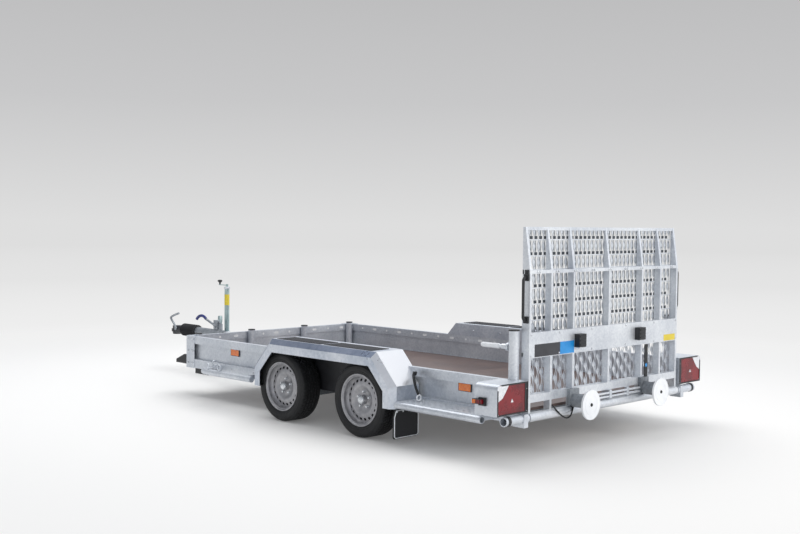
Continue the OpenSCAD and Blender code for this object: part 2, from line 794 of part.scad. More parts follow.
leg_x = 416;
leg_z = 330;
foot_t = 12;
foot_y = ramp_back_y - foot_reach;
module ramp_legs() color("#8e949c") {
    both() {
        block([leg_x - 50, ramp_back_y - 24, hinge_z + hinge_r + 6], [leg_x + 50, ramp_back_y, foot_strip_high]);
        rod_y(foot_y + foot_t, ramp_back_y - 24, leg_x, leg_z + 15, 45);
    }
}
module ramp_feet() color("#f0f2f4") {
    both() difference() {
        rod_y(foot_y, foot_y + foot_t, leg_x, leg_z, foot_d / 2);
        rod_y(foot_y - 1, foot_y + foot_t + 1, leg_x, leg_z, 7);
    }
}

// Wheel rim, turned about the wheel's axis: radius, then the distance outwards
rim_sheet = 5;
rim_line = [
    [flange_d / 2, -84], [rim_d / 2, -76], [rim_d / 2 - 2, -46], [rim_d / 2 - 25, -30],
    [rim_d / 2 - 25, 24], [rim_d / 2 - 2, 42], [rim_d / 2, 76], [flange_d / 2, 84]
];
disc_r = rim_d / 2 - 27;
module rim(side, y) color("#9ea2a8") {
    translate([side * wheel_x, y, axle_r]) rotate([0, side * 90, 0]) difference() {
        rotate_extrude($fn = 72) union() {
            polygon(concat(rim_line, [for (i = [len(rim_line) - 1 : -1 : 0]) rim_line[i] - [rim_sheet, 0]]));
            polygon([[0, 24], [disc_r, 6], [disc_r, 14], [100, 34], [70, 34], [34, 26], [32, 60], [28, 64], [0, 64]]);
            polygon([[0, -72], [116, -72], [116, -14], [60, -10], [60, 28], [0, 28]]);
        }
        translate([0, 0, -80]) cylinder(r = stub_r + slip, h = 92);
        for (i = [0 : vents - 1])
            rotate([0, 0, i * 360 / vents]) translate([disc_r - 14, 0, 0]) cylinder(r = 9, h = 50, $fn = 24);
    }
}

// Tyre section: radius, then the distance outwards, for the outer half
tyre_half = [
    [rim_d / 2 + slip, 60], [rim_d / 2 + slip, 75], [flange_d / 2 + 2, 81], [207, 93],
    [216, tyre_w / 2], [228, 94], [248, 87], [257, 79], [tyre_d / 2, 66]
];
tyre_hollow = [[250, 60], [240, 78], [216, 85], [190, 72], [rim_d / 2 + 14, 60]];
function flip(p) = [p[0], -p[1]];
module tyre(side, y) color("#1c1d20") {
    outer = concat(tyre_half, [for (i = [len(tyre_half) - 1 : -1 : 0]) flip(tyre_half[i])]);
    inner = concat([for (i = [len(tyre_hollow) - 1 : -1 : 0]) flip(tyre_hollow[i])], tyre_hollow);
    translate([side * wheel_x, y, axle_r]) rotate([0, side * 90, 0])
        rotate_extrude($fn = 96) polygon(concat(outer, inner));
}
module tyre_fl() { tyre(-1, axle_front_y); }
module tyre_fr() { tyre(1, axle_front_y); }
module tyre_rl() { tyre(-1, axle_rear_y); }
module tyre_rr() { tyre(1, axle_rear_y); }
module rim_fl() { rim(-1, axle_front_y); }
module rim_fr() { rim(1, axle_front_y); }
module rim_rl() { rim(-1, axle_rear_y); }
module rim_rr() { rim(1, axle_rear_y); }

sills();
cross_members();
chassis_beams();
drawbar_left();
drawbar_right();
floor();
front_board();
side_boards();
corner_plates();
stake_tubes();
caps();
mudguards();
guard_treads();
mudflaps();
axle_front();
axle_rear();
brake_rod();
steps();
side_tubes();
wheel_chocks();
reflectors();
lamp_housings();
tail_lamps();
marker_lamps();
rear_posts();
latches();
hinge_ends();
overrun_housing();
gaiter();
coupling();
handbrake();
jockey_tube();
ramp_frame();
ramp_mesh_low();
ramp_mesh_mid();
ramp_mesh_tip();
ramp_handles();
plate_lamps();
ramp_legs();
ramp_feet();
jockey_leg();
jockey_fork();
jockey_wheel();
tyre_fl();
tyre_fr();
tyre_rl();
tyre_rr();
rim_fl();
rim_fr();
rim_rl();
rim_rr();
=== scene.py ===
import bpy
import math
import numpy as np
from mathutils import Matrix, Vector


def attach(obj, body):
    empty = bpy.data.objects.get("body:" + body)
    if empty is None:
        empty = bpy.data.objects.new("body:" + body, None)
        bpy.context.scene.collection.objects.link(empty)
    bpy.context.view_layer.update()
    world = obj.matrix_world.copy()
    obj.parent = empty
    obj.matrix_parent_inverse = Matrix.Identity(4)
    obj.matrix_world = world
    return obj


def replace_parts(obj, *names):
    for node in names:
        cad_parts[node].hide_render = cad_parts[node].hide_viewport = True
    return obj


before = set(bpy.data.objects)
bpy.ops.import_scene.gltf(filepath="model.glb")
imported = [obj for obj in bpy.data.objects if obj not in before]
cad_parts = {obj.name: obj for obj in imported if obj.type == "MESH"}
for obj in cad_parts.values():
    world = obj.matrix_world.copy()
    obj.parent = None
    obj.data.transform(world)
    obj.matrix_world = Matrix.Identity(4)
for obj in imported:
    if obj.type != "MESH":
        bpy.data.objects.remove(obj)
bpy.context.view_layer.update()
print("frame loaded:", len(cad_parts), "nodes")

# Pieces are placed in millimetres, with Y counted from the middle between the axles
midY = -854.0

# What a user would change about the view
view = {
    "place": (-6.2314, -6.7773, 1.4782),
    "yaw": -44.99,
    "pitch": -2.23,
    "roll": 0.57,
    "lens": 49.09,
    "sensor": 36.0,
}


def makeCamera():
    yaw, pitch, roll = (math.radians(view[k]) for k in ("yaw", "pitch", "roll"))
    ahead = Vector((-math.sin(yaw) * math.cos(pitch), math.cos(yaw) * math.cos(pitch), math.sin(pitch)))
    right = Vector((math.cos(yaw), math.sin(yaw), 0))
    up = right.cross(ahead)
    right, up = right * math.cos(roll) + up * math.sin(roll), up * math.cos(roll) - right * math.sin(roll)
    data = bpy.data.cameras.new("camera")
    data.lens = view["lens"]
    data.sensor_width = view["sensor"]
    data.sensor_fit = "HORIZONTAL"
    camera = bpy.data.objects.new("camera", data)
    bpy.context.scene.collection.objects.link(camera)
    turn = Matrix((right, up, -ahead)).transposed().to_4x4()
    camera.matrix_world = Matrix.Translation(view["place"]) @ turn
    bpy.context.scene.camera = camera


makeCamera()
print("camera made")


# sRGB hex to the linear colour that the shaders take
def linear(hexColour):
    parts = [int(hexColour[i:i + 2], 16) / 255 for i in (1, 3, 5)]
    return [p / 12.92 if p <= 0.04045 else ((p + 0.055) / 1.055) ** 2.4 for p in parts] + [1.0]


# Adds a node; settings name its properties or inputs, links name inputs and their sources
def addNode(tree, kind, settings=None, links=None):
    node = tree.nodes.new(kind)
    for key, value in (settings or {}).items():
        if isinstance(key, int) or key in node.inputs:
            node.inputs[key].default_value = value
        else:
            setattr(node, key, value)
    for key, source in (links or {}).items():
        tree.links.new(source, node.inputs[key])
    return node


# A finish with two tones, mottled by noise and by cells, with its own roughness range and fine bump.
# Sizes are real millimetres: broad mottling, then cells, then the grain of the bump.
def finish(name, dark, light, rough, metal=0.0, broad=400.0, cell=0.0, grain=3.0, bump=0.1, extra=None):
    material = bpy.data.materials.new(name)
    material.use_nodes = True
    tree = material.node_tree
    tree.nodes.clear()
    place = addNode(tree, "ShaderNodeTexCoord").outputs["Object"]
    wide = addNode(tree, "ShaderNodeTexNoise", {"Scale": 1000 / broad, "Detail": 5.0, "Roughness": 0.62},
                   {"Vector": place}).outputs["Fac"]
    tone = wide
    if cell:
        cells = addNode(tree, "ShaderNodeTexVoronoi", {"Scale": 1000 / cell}, {"Vector": place})
        grey = addNode(tree, "ShaderNodeSeparateColor", None, {"Color": cells.outputs["Color"]}).outputs[0]
        tone = addNode(tree, "ShaderNodeMix", {"Factor": 0.17}, {2: wide, 3: grey}).outputs[0]
    ramp = addNode(tree, "ShaderNodeValToRGB", None, {"Fac": tone})
    ramp.color_ramp.elements[0].position = 0.28
    ramp.color_ramp.elements[0].color = linear(dark)
    ramp.color_ramp.elements[1].position = 0.72
    ramp.color_ramp.elements[1].color = linear(light)
    spread = addNode(tree, "ShaderNodeMapRange", {"From Min": 0.25, "From Max": 0.75, "To Min": rough[0],
                     "To Max": rough[1]}, {"Value": tone})
    fine = addNode(tree, "ShaderNodeTexNoise", {"Scale": 1000 / grain, "Detail": 3.0}, {"Vector": place})
    relief = addNode(tree, "ShaderNodeBump", {"Strength": bump, "Distance": 0.0006}, {"Height": fine.outputs["Fac"]})
    shader = addNode(tree, "ShaderNodeBsdfPrincipled", dict({"Metallic": metal}, **(extra or {})),
                     {"Base Color": ramp.outputs["Color"], "Roughness": spread.outputs[0],
                      "Normal": relief.outputs["Normal"]})
    addNode(tree, "ShaderNodeOutputMaterial", None, {"Surface": shader.outputs[0]})
    return material


# Hot-dip galvanised steel: cloudy grey with 14 mm spangle
galvanised = finish("galvanised steel", "#b6bcc5", "#dadee3", (0.32, 0.46), 0.58, 320, 14, 8, 0.03)
# Fresh bright zinc on the folded sheet of the mudguards
blueZinc = finish("spangled galvanised sheet", "#aab3c0", "#d6dae1", (0.26, 0.4), 0.68, 260, 17, 9, 0.03)
# The rolled bevel gets painted shade, a bluish grey multiplied in where the normal leans sideways and up, as 2 |x| z;
# the slope to the rear gets a painted highlight, mixed towards near white, as -2 y z
tree = blueZinc.node_tree
shader = next(n for n in tree.nodes if n.type == "BSDF_PRINCIPLED")
plain = shader.inputs["Base Color"].links[0].from_socket
facing = addNode(tree, "ShaderNodeSeparateXYZ", None, {0: addNode(tree, "ShaderNodeNewGeometry").outputs["Normal"]})
aslant = addNode(tree, "ShaderNodeMath", {"operation": "ABSOLUTE"}, {0: facing.outputs["X"]})
aslant = addNode(tree, "ShaderNodeMath", {"operation": "MULTIPLY"}, {0: aslant.outputs[0], 1: facing.outputs["Z"]})
aslant = addNode(tree, "ShaderNodeMapRange", {"From Max": 0.45}, {"Value": aslant.outputs[0]})
# Painted shade: the bevel's colour is multiplied by a bluish grey
paintedBevelShade = addNode(tree, "ShaderNodeMix", {"data_type": "RGBA", "blend_type": "MULTIPLY", 7: linear("#a2a9b8")},
                 {0: aslant.outputs[0], 6: plain})
rearward = addNode(tree, "ShaderNodeMath", {"operation": "MULTIPLY"}, {0: facing.outputs["Y"], 1: facing.outputs["Z"]})
rearward = addNode(tree, "ShaderNodeMapRange", {"From Max": -0.45}, {"Value": rearward.outputs[0]})
# Painted highlight: the rear slope's colour is mixed towards near white
paintedSlopeHighlight = addNode(tree, "ShaderNodeMix", {"data_type": "RGBA", 7: linear("#fbfcff")},
                 {0: rearward.outputs[0], 6: paintedBevelShade.outputs[2]})
tree.links.new(paintedSlopeHighlight.outputs[2], shader.inputs["Base Color"])
# Bright galvanised plate and tube of the ramp
brightZinc = finish("bright galvanised plate", "#c0c5cd", "#e4e7ea", (0.32, 0.46), 0.6, 260, 12, 8, 0.04)
# Under frame steel, darker and rougher than the galvanised; the same dark tone is painted shade on the grip mesh's
# flanks
darkZincAndPaintedShade = finish("darker galvanised steel and painted shade", "#70757b", "#a2a7ac", (0.5, 0.68), 0.7, 300, 15, 4, 0.25)
# Zinc-plated and passivated tube
passivated = finish("blue passivated zinc", "#8ba3a4", "#b9c9c9", (0.25, 0.36), 0.8, 90, 0, 2, 0.06)
# Painted shade: near-black steel on the mesh's folded tabs
paintedShadeSteel = finish("painted shade of the folded tabs", "#2b3036", "#4a5058", (0.45, 0.6), 0.5, 90, 0, 3, 0.1)
# Cast and galvanised fittings of the drawbar head
castZinc = finish("cast and galvanised fitting", "#83888e", "#afb4b9", (0.45, 0.6), 0.7, 60, 0, 1.6, 0.5)
# Brown phenolic film on plywood, printed with a fine anti-slip grain
phenolic = finish("phenolic film plywood", "#4c3b37", "#6e5c57", (0.34, 0.55), 0.0, 320, 0, 5, 0.5)
# Tyre rubber, dusty grey-black
tyreRubber = finish("tyre rubber", "#0c0d0f", "#17181b", (0.55, 0.72), 0.0, 120, 0, 1.4, 0.35)
# Soft moulded rubber of flaps and bellows
moulded = finish("moulded black rubber", "#0e0f12", "#1a1b1f", (0.5, 0.68), 0.0, 80, 0, 1.2, 0.3)
# Grained black plastic
blackPlastic = finish("grained black plastic", "#141518", "#222327", (0.4, 0.55), 0.0, 50, 0, 0.9, 0.35)
# Black grit strip: silicon carbide grains
grit = finish("black grit strip", "#121216", "#34343a", (0.75, 0.95), 0.0, 3, 2, 1.1, 1.0)
# Silver wheel enamel with fine flake
wheelEnamel = finish("silver wheel enamel", "#909196", "#b0afb1", (0.3, 0.42), 0.5, 40, 0, 0.8, 0.05)
# Bright plated fasteners and hub caps
plated = finish("bright zinc plating", "#b9bdc2", "#e3e6e9", (0.2, 0.34), 0.85, 30, 0, 1.5, 0.05)
# White moulded polymer of the foot discs
whitePlastic = finish("white moulded plastic", "#dfe2e6", "#f1f3f5", (0.35, 0.5), 0.0, 120, 0, 2, 0.15)
# Lenses, with 3 mm optics pressed into their backs
redLens = finish("red lens", "#4e0410", "#860c1a", (0.22, 0.32), 0.0, 90, 0, 4, 0.15, {"Coat Weight": 0.1})
orangeLens = finish("orange reflector", "#e05c06", "#f58a1c", (0.16, 0.26), 0.0, 20, 4, 3, 0.3, {"Coat Weight": 0.6})
amberLens = finish("amber lens", "#b84a08", "#e07a18", (0.12, 0.22), 0.0, 20, 3, 3, 0.4, {"Coat Weight": 0.6})
clearLens = finish("clear lens", "#c9ccd2", "#f2f3f6", (0.08, 0.16), 0.25, 20, 4, 4, 0.5, {"Coat Weight": 0.7})
# Dark blue moulded grip
bluePlastic = finish("dark blue moulded grip", "#1b2461", "#2b367c", (0.35, 0.5), 0.0, 40, 0, 1, 0.2)
# Black enamel of the coupling head
blackEnamel = finish("black enamel", "#1d1e22", "#303237", (0.28, 0.42), 0.1, 60, 0, 2, 0.15)
# Plain vinyl labels, with nothing printed on them
yellowVinyl = finish("plain yellow vinyl", "#cdb52a", "#dfcb45", (0.35, 0.45), 0.0, 90, 0, 4, 0.05)
darkVinyl = finish("plain charcoal vinyl", "#26272c", "#34353b", (0.3, 0.4), 0.0, 90, 0, 4, 0.05)
blueVinyl = finish("plain blue vinyl", "#0f78bd", "#2490d6", (0.3, 0.4), 0.0, 90, 0, 4, 0.05)
# Painted light: near-white plates in the lashing slots, for the brightness seen through them; also the painted
# highlight on the mudflaps' raised borders
paintedPaleLight = finish("painted light in the slots and on the flap borders", "#d9dcdf", "#f4f5f6", (0.6, 0.75), 0.0, 60, 0, 3, 0.05)
print("materials made")

nodeFinish = {
    galvanised: "sills front_board side_boards corner_plates stake_tubes steps side_tubes hinge_ends drawbar_left "
                "drawbar_right lamp_housings",
    blueZinc: "mudguards",
    brightZinc: "ramp_frame rear_posts latches",
    darkZincAndPaintedShade: "cross_members chassis_beams axle_front axle_rear brake_rod ramp_legs",
    passivated: "jockey_tube jockey_leg jockey_fork",
    castZinc: "overrun_housing handbrake",
    blackEnamel: "coupling",
    phenolic: "floor",
    moulded: "mudflaps gaiter jockey_wheel",
    blackPlastic: "caps marker_lamps plate_lamps ramp_handles wheel_chocks",
    grit: "guard_treads",
    wheelEnamel: "rim_fl rim_fr rim_rl rim_rr",
    whitePlastic: "ramp_feet",
    redLens: "tail_lamps",
    orangeLens: "reflectors",
}
for material, names in nodeFinish.items():
    for name in names.split():
        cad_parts[name].data.materials.clear()
        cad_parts[name].data.materials.append(material)


# Quads of a grid; their normals point outwards when rows run along an axis and columns turn round it
def gridQuads(rows, cols, closeRows=False, closeCols=False):
    i, j = np.meshgrid(np.arange(rows - (not closeRows)), np.arange(cols - (not closeCols)), indexing="ij")
    nextI, nextJ = (i + 1) % rows, (j + 1) % cols
    return np.stack([i * cols + j, i * cols + nextJ, nextI * cols + nextJ, nextI * cols + j], -1).reshape(-1, 4)


# Links a piece of quads, from points in millimetres, to its body and its material slot
def addPiece(name, points, quads, material, body, bevel=0.0, sharp=35.0):
    points = (np.asarray(points, float).reshape(-1, 3) + (0, midY, 0)) / 1000
    quads = np.asarray(quads, np.int32).reshape(-1, 4)
    mesh = bpy.data.meshes.new(name)
    mesh.vertices.add(len(points))
    mesh.vertices.foreach_set("co", points.astype(np.float32).ravel())
    mesh.loops.add(quads.size)
    mesh.loops.foreach_set("vertex_index", quads.ravel())
    mesh.polygons.add(len(quads))
    mesh.polygons.foreach_set("loop_start", np.arange(0, quads.size, 4, dtype=np.int32))
    mesh.update(calc_edges=True)
    mesh.shade_smooth()
    mesh.set_sharp_from_angle(angle=math.radians(sharp))
    mesh.materials.append(material)
    piece = bpy.data.objects.new(name, mesh)
    bpy.context.scene.collection.objects.link(piece)
    if bevel:
        rounding = piece.modifiers.new("rounding", "BEVEL")
        rounding.width = bevel / 1000
        rounding.segments = 2
    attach(piece, body)
    return piece


# Many equal grids in one piece: grids has the shape (count, rows, cols, 3)
def addGrids(name, grids, material, body, closeRows=False, closeCols=True, sharp=35.0):
    grids = np.asarray(grids, float)
    count, rows, cols = grids.shape[:3]
    quads = gridQuads(rows, cols, closeRows, closeCols)
    quads = (quads[None] + (np.arange(count) * rows * cols)[:, None, None]).reshape(-1, 4)
    return addPiece(name, grids, quads, material, body, sharp=sharp)


# Boxes with rounded edges, each from its low corner to its high corner
def addBoxes(name, boxes, material, body, bevel=1.5):
    boxes = np.asarray(boxes, float).reshape(-1, 2, 3)
    corner = np.array([[0, 0, 0], [1, 0, 0], [1, 1, 0], [0, 1, 0], [0, 0, 1], [1, 0, 1], [1, 1, 1], [0, 1, 1]])
    face = np.array([[0, 3, 2, 1], [4, 5, 6, 7], [0, 1, 5, 4], [1, 2, 6, 5], [2, 3, 7, 6], [3, 0, 4, 7]])
    points = boxes[:, 0][:, None] * (1 - corner) + boxes[:, 1][:, None] * corner
    quads = face[None] + (np.arange(len(boxes)) * 8)[:, None, None]
    return addPiece(name, points, quads, material, body, bevel=bevel)


# Turned pieces: profile is (radius, distance along), turned about direction at each place.
# A point is place + distance * direction + radius * (cos a * first + sin a * second).
def turnedGrids(profile, places, direction, steps=32, phase=0.0):
    direction = np.asarray(direction, float)
    first = np.roll(np.abs(direction), 1)
    second = np.cross(direction, first)
    profile = np.asarray(profile, float)
    angle = np.arange(steps) / steps * 2 * np.pi + phase
    ring = np.cos(angle)[:, None] * first + np.sin(angle)[:, None] * second
    local = profile[:, 1][:, None, None] * direction + profile[:, 0][:, None, None] * ring[None]
    return np.asarray(places, float).reshape(-1, 1, 1, 3) + local[None]


def addTurned(name, profile, places, direction, material, body, steps=32, phase=0.0, closed=False):
    grids = turnedGrids(profile, places, direction, steps, phase)
    return addGrids(name, grids, material, body, closeRows=closed)


# Round bar along a path: a point is path + radius * (cos a * side + sin a * other), with closed ends
def tubeGrid(path, radius, sides=12, across=(1.0, 0.0, 0.0), flat=1.0):
    path = np.asarray(path, float)
    run = np.gradient(path, axis=0)
    run /= np.linalg.norm(run, axis=1)[:, None]
    side = np.cross(np.asarray(across, float), run)
    side /= np.linalg.norm(side, axis=1)[:, None]
    other = np.cross(run, side)
    angle = np.arange(sides) / sides * 2 * np.pi
    ring = np.cos(angle)[None, :, None] * side[:, None] * flat + np.sin(angle)[None, :, None] * other[:, None]
    rows = path[:, None] + radius * ring
    ends = [path[[0]][:, None] + 0.01 * ring[[0]], path[[-1]][:, None] + 0.01 * ring[[-1]]]
    return np.concatenate([ends[0], rows, ends[1]])[None]


# Smooth line through a few points, by a cubic through each four neighbours
def smoothPath(points, steps=8):
    points = np.asarray(points, float)
    p = np.concatenate([2 * points[:1] - points[1:2], points, 2 * points[-1:] - points[-2:-1]])
    t = (np.arange(steps) / steps)[None, :, None]
    a, b, c, d = (p[k:len(p) - 3 + k][:, None] for k in range(4))
    line = 0.5 * (2 * b + (c - a) * t + (2 * a - 5 * b + 4 * c - d) * t ** 2 + (3 * b - a - 3 * c + d) * t ** 3)
    return np.concatenate([line.reshape(-1, 3), points[-1:]])


def mirrored(points):
    points = np.asarray(points, float)
    return np.concatenate([points, points * (-1, 1, 1)])


# Cable of the ramp's lamps: it hangs in a short loop between two ribs, below the hinge
cable = {"from": (-632.0, -1707.0, 336.0), "span": 228.0, "sag": 92.0, "out": 42.0, "width": 10.0}
t = np.linspace(0, 1, 33)
loop = np.stack([cable["from"][0] + cable["span"] * t,
                 cable["from"][1] - cable["out"] * np.sin(np.pi * t) ** 0.7,
                 cable["from"][2] - cable["sag"] * 4 * t * (1 - t)], -1)
lampCable = addGrids("lampCable", tubeGrid(loop, cable["width"] / 2, 12, (0, 1, 0)), moulded, "ramp")

wheels = {"fl": (-1, 426.0), "fr": (1, 426.0), "rl": (-1, -426.0), "rr": (1, -426.0)}
wheelX = 1041.0
wheelZ = 262.0

# Tyre: four round grooves and cross cuts; the section's radius and reach are in millimetres
tyre = {"grooves": (-42, -14, 14, 42), "grooveHalf": 4.0, "depth": 6.5, "blocks": 64, "cut": 4.5, "sweep": 0.11}
wall = [(165.3, 60), (165.3, 75), (176, 78.5), (184.5, 81.5), (193, 86), (198.5, 89.6), (200, 91.4), (203.5, 91.8),
        (205, 91), (212, 93.4), (218, 94.5), (226, 94.4), (232.5, 93.2), (234, 94), (237, 93.4), (238.5, 91.6),
        (245, 88.6), (251, 84), (256, 78.5), (259.4, 72), (260.8, 66)]
hollow = [(179, 60), (190, 72), (216, 85), (240, 78), (250, 60)]


def tyreGrid(side, y):
    edge = tyre["grooveHalf"]
    tread = [(261.2, -60.0)]
    for c in tyre["grooves"]:
        crown = 262 - 0.8 * (c / 60) ** 2
        tread += [(crown, c - edge), (crown - tyre["depth"], c - edge + 1), (crown - tyre["depth"], c + edge - 1),
                  (crown, c + edge)]
    tread += [(261.2, 60.0)]
    profile = [(r, -a) for r, a in wall] + tread + wall[::-1] + hollow + [(r, -a) for r, a in hollow[::-1]]
    r, a = np.array(profile).T
    # Angles 0, 0.04, 0.15 and 0.19 of each block: the two middle ones are the floor of a cross cut
    part = np.array([0.0, 0.04, 0.15, 0.19])
    angle = ((np.arange(tyre["blocks"])[:, None] + part) / tyre["blocks"] * 2 * np.pi).ravel()
    low = np.tile([0.0, 1.0, 1.0, 0.0], tyre["blocks"])
    outer = np.arange(len(r)) < len(r) - 2 * len(hollow)
    weight = np.clip((r - 247) / 7, 0, 1) * outer * (r > 247) * (np.abs(r - 261.9 + tyre["depth"]) > 1)
    radius = r[:, None] - tyre["cut"] * weight[:, None] * low[None]
    turn = angle[None] + tyre["sweep"] * np.abs(a)[:, None] / 95 * side
    x = wheelX * side + side * a[:, None] + 0 * turn
    return np.stack([x, y + radius * np.cos(turn), wheelZ + side * radius * np.sin(turn)], -1)[None]


# Wheel section as (radius, reach outwards): barrel, then the front to the hub, then the back with the drum
barrel = [(184, -84), (184, -81), (165, -76), (163, -46), (140, -30), (140, 24), (163, 42), (165, 76), (184, 81), (184, 84)]
front = [(181.5, 86), (175, 84.5), (169, 78), (164, 58), (158, 43), (152, 38), (146, 39), (145.5, 39), (129, 46),
         (128.5, 46), (112, 51), (99, 50), (86, 43), (75, 35), (62, 32), (44, 31), (34, 33), (31.5, 44), (31, 58), (0.01, 58)]
rear = [(0.01, 14), (22.6, 14), (22.6, -72), (112, -72), (116, -69), (116, -14), (118, 8), (128, 24), (136, 21), (135, -26),
        (157, -48), (159, -72), (176, -79), (180, -85)]
vent = {"count": 20, "inner": 129.0, "outer": 145.5, "depth": 9.0}
# Painted shade: a near-black finish for the vent pockets' faces
paintedVentShade = finish("painted shade in the wheel vents", "#1b1c1f", "#2a2b2e", (0.6, 0.75), 0.0, 60, 0, 2, 0.1)


def wheelDisc(name, side, y):
    r, a = np.array(barrel + front + rear, float).T
    # Angles of each vent: its two walls and a plain stretch; vents are pockets of the given depth
    part = np.array([0.0, 0.27, 0.29, 0.71, 0.73])
    angle = ((np.arange(vent["count"])[:, None] + part) / vent["count"] * 2 * np.pi).ravel()
    inside = np.tile([0.0, 0.0, 1.0, 1.0, 0.0], vent["count"])
    start = len(barrel)
    ring = np.zeros(len(r))
    ring[start + 7:start + 9] = 1.0
    reach = a[:, None] - vent["depth"] * ring[:, None] * inside[None]
    x = side * (wheelX + reach)
    turn = angle[None] + 0 * reach
    grid = np.stack([x, y + r[:, None] * np.cos(turn), wheelZ + side * r[:, None] * np.sin(turn)], -1)[None]
    piece = addGrids("wheelDisc_" + name, grid, wheelEnamel, "wheel_" + name, closeRows=True, sharp=30)
    piece.data.materials.append(paintedVentShade)
    # The vent pockets' walls and floors get the painted shade
    cols = len(angle)
    shade = np.zeros((len(r), cols), np.int32)
    shade[start + 6:start + 9] = np.maximum(inside, np.roll(inside, -1)).astype(np.int32)[None]
    piece.data.polygons.foreach_set("material_index", shade.ravel())
    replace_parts(piece, "rim_" + name)


# Wheel fittings: hexagon bolts on the disc, hub cap and valve; distances are outwards from the wheel's middle
bolt = {"circle": 56.0, "count": 5, "flat": 9.4}
for name, (side, y) in wheels.items():
    body = "wheel_" + name
    piece = addGrids("treadedTyre_" + name, tyreGrid(side, y), tyreRubber, body, closeRows=True)
    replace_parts(piece, "tyre_" + name)
    wheelDisc(name, side, y)
    out = (side, 0, 0)
    angle = np.arange(bolt["count"]) / bolt["count"] * 2 * np.pi + 0.3
    heads = np.stack([0 * angle + wheelX * side, y + bolt["circle"] * np.cos(angle),
                      wheelZ + bolt["circle"] * np.sin(angle)], -1)
    addTurned("wheelBolts_" + name, [(0.01, 29), (bolt["flat"] + 2.5, 29), (bolt["flat"] + 2.5, 35),
              (bolt["flat"], 37), (bolt["flat"], 46), (bolt["flat"] - 2, 48), (0.01, 48)], heads, out, plated,
              body, steps=6)
    addTurned("hubCap_" + name, [(0.01, 58), (30, 58), (30.5, 64), (29.5, 69), (26, 74), (19, 77.5), (10, 79), (0.01, 79.4)],
              [(wheelX * side, y, wheelZ)], out, plated, body, steps=40)
    addTurned("valve_" + name, [(0.01, 40), (5.6, 40), (5.6, 48), (4, 51), (3.8, 64), (4.4, 65), (4.4, 74), (0.01, 74.6)],
              [(wheelX * side, y + 152 * math.cos(1.9), wheelZ + 152 * math.sin(1.9))], out, moulded, body,
              steps=12)
print("tyres and wheel fittings made")

# Grip mesh: thin ribbons run up the ramp, 48 mm apart, in rows of 102 mm. With p the phase of a row, a ribbon's
# half width goes from slim to wide as (1 - cos p) / 2 and it sways as sin p. In the lower panel each ribbon sways
# against its neighbour, at twice the width phase. All lean back by an angle that turns with the height.
grip = {"pitch": 48.0, "rise": 102.0, "row": 880.0, "count": 17, "thick": 3.0, "back": -1657.0, "face": -1645.0, "split": 672.0}
k = np.arange(-grip["count"], grip["count"] + 1)


def ribbons(name, low, high, slim, wide, sway, stagger, material=brightZinc, beside=0.0, behind=0.0):
    z = np.arange(low, high + 0.1, 6.0)
    t = ((z - grip["row"]) / grip["rise"]) % 1
    phase = 2 * np.pi * t[None] + np.pi * stagger * (k % 2)[:, None]
    half = slim + (wide - slim) * (0.5 - 0.5 * np.cos(2 * phase if stagger else phase))
    middle = grip["pitch"] * k[:, None] + beside + sway * np.sin(phase)
    lean = np.radians(20 + 14 * np.sin(phase + 0.8))
    mark = np.array([[1, -1], [1, 1], [-1, 1], [-1, -1]])
    across = half[..., None] * mark[:, 0]
    deep = grip["thick"] / 2 * mark[:, 1]
    x = middle[..., None] + across * np.cos(lean)[..., None] - deep * np.sin(lean)[..., None]
    y = (grip["back"] + grip["face"]) / 2 + behind + across * np.sin(lean)[..., None] + deep * np.cos(lean)[..., None]
    rows = np.stack([x, y, np.broadcast_to(z[None, :, None], x.shape)], -1)
    core = rows.mean(axis=2, keepdims=True)
    closing = core + 0.001 * (rows - core)
    rows = np.concatenate([closing[:, :1], rows, closing[:, -1:]], axis=1)
    return addGrids(name, rows, material, "ramp", sharp=40)


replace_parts(ribbons("gripMeshLow", 376, 680, 9.5, 16.0, 8.0, 1), "ramp_mesh_low")
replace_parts(ribbons("gripMeshMid", 680, 1184, 8.0, 15.5, 2.5, 0), "ramp_mesh_mid")
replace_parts(ribbons("gripMeshTip", 1196, 1464, 8.0, 15.5, 2.5, 0), "ramp_mesh_tip")
# Painted shade: beside each ribbon stands a darker strip, its folded flank; galvanised in the lower panel, the darker
# zinc above
ribbons("gripFlankShadeLow", 376, 680, 4.5, 9.0, 6.0, 1, galvanised, 22, 3)
ribbons("gripFlankShadeMid", 680, 1184, 3.5, 7.0, 2.5, 0, darkZincAndPaintedShade, 20, 3)
ribbons("gripFlankShadeTip", 1196, 1464, 3.5, 7.0, 2.5, 0, darkZincAndPaintedShade, 20, 3)
back, face = grip["back"], grip["face"]
rows = [778, 880, 982, 1084, 1288, 1390]
bars = [[(-857, back + 1, r - 3.5), (857, back + 10, r + 3.5)] for r in rows]
# Folded tabs close the ribbons' narrow ends above each bar; they face down and are painted near-black as shade
tabs = [[(grip["pitch"] * (i + 0.5) - 12, back + 6, r + 5), (grip["pitch"] * (i + 0.5) + 12, back + 11, r + 24)]
        for r in rows for i in range(-grip["count"], grip["count"])]
addBoxes("gripShadeTabs", tabs, paintedShadeSteel, "ramp", bevel=1.0)
flats = [[(-870, back, a), (870, face, b)] for a, b in ((370, 384), (656, 684), (1176, 1204), (1458, 1472))]
edges = [[(s * 863 - 7, back, 384), (s * 863 + 7, face, 1458)] for s in (-1, 1)]
addBoxes("gripBars", bars, brightZinc, "ramp", bevel=0.8)
addBoxes("gripBorder", flats + edges, brightZinc, "ramp", bevel=0.8)
print("grip mesh made:", len(k), "ribbons a row")

# Screws, rivets and bolts by place and direction; a head is a low dome on a washer
def screws(name, places, direction, size, material=plated, body="chassis"):
    dome = [(0.01, 0.0), (1.35, 0.0), (1.35, 0.22), (1.0, 0.26), (0.98, 0.62), (0.8, 0.86), (0.45, 0.98), (0.01, 1.0)]
    addTurned(name, np.array(dome) * size, places, direction, material, body, steps=16)


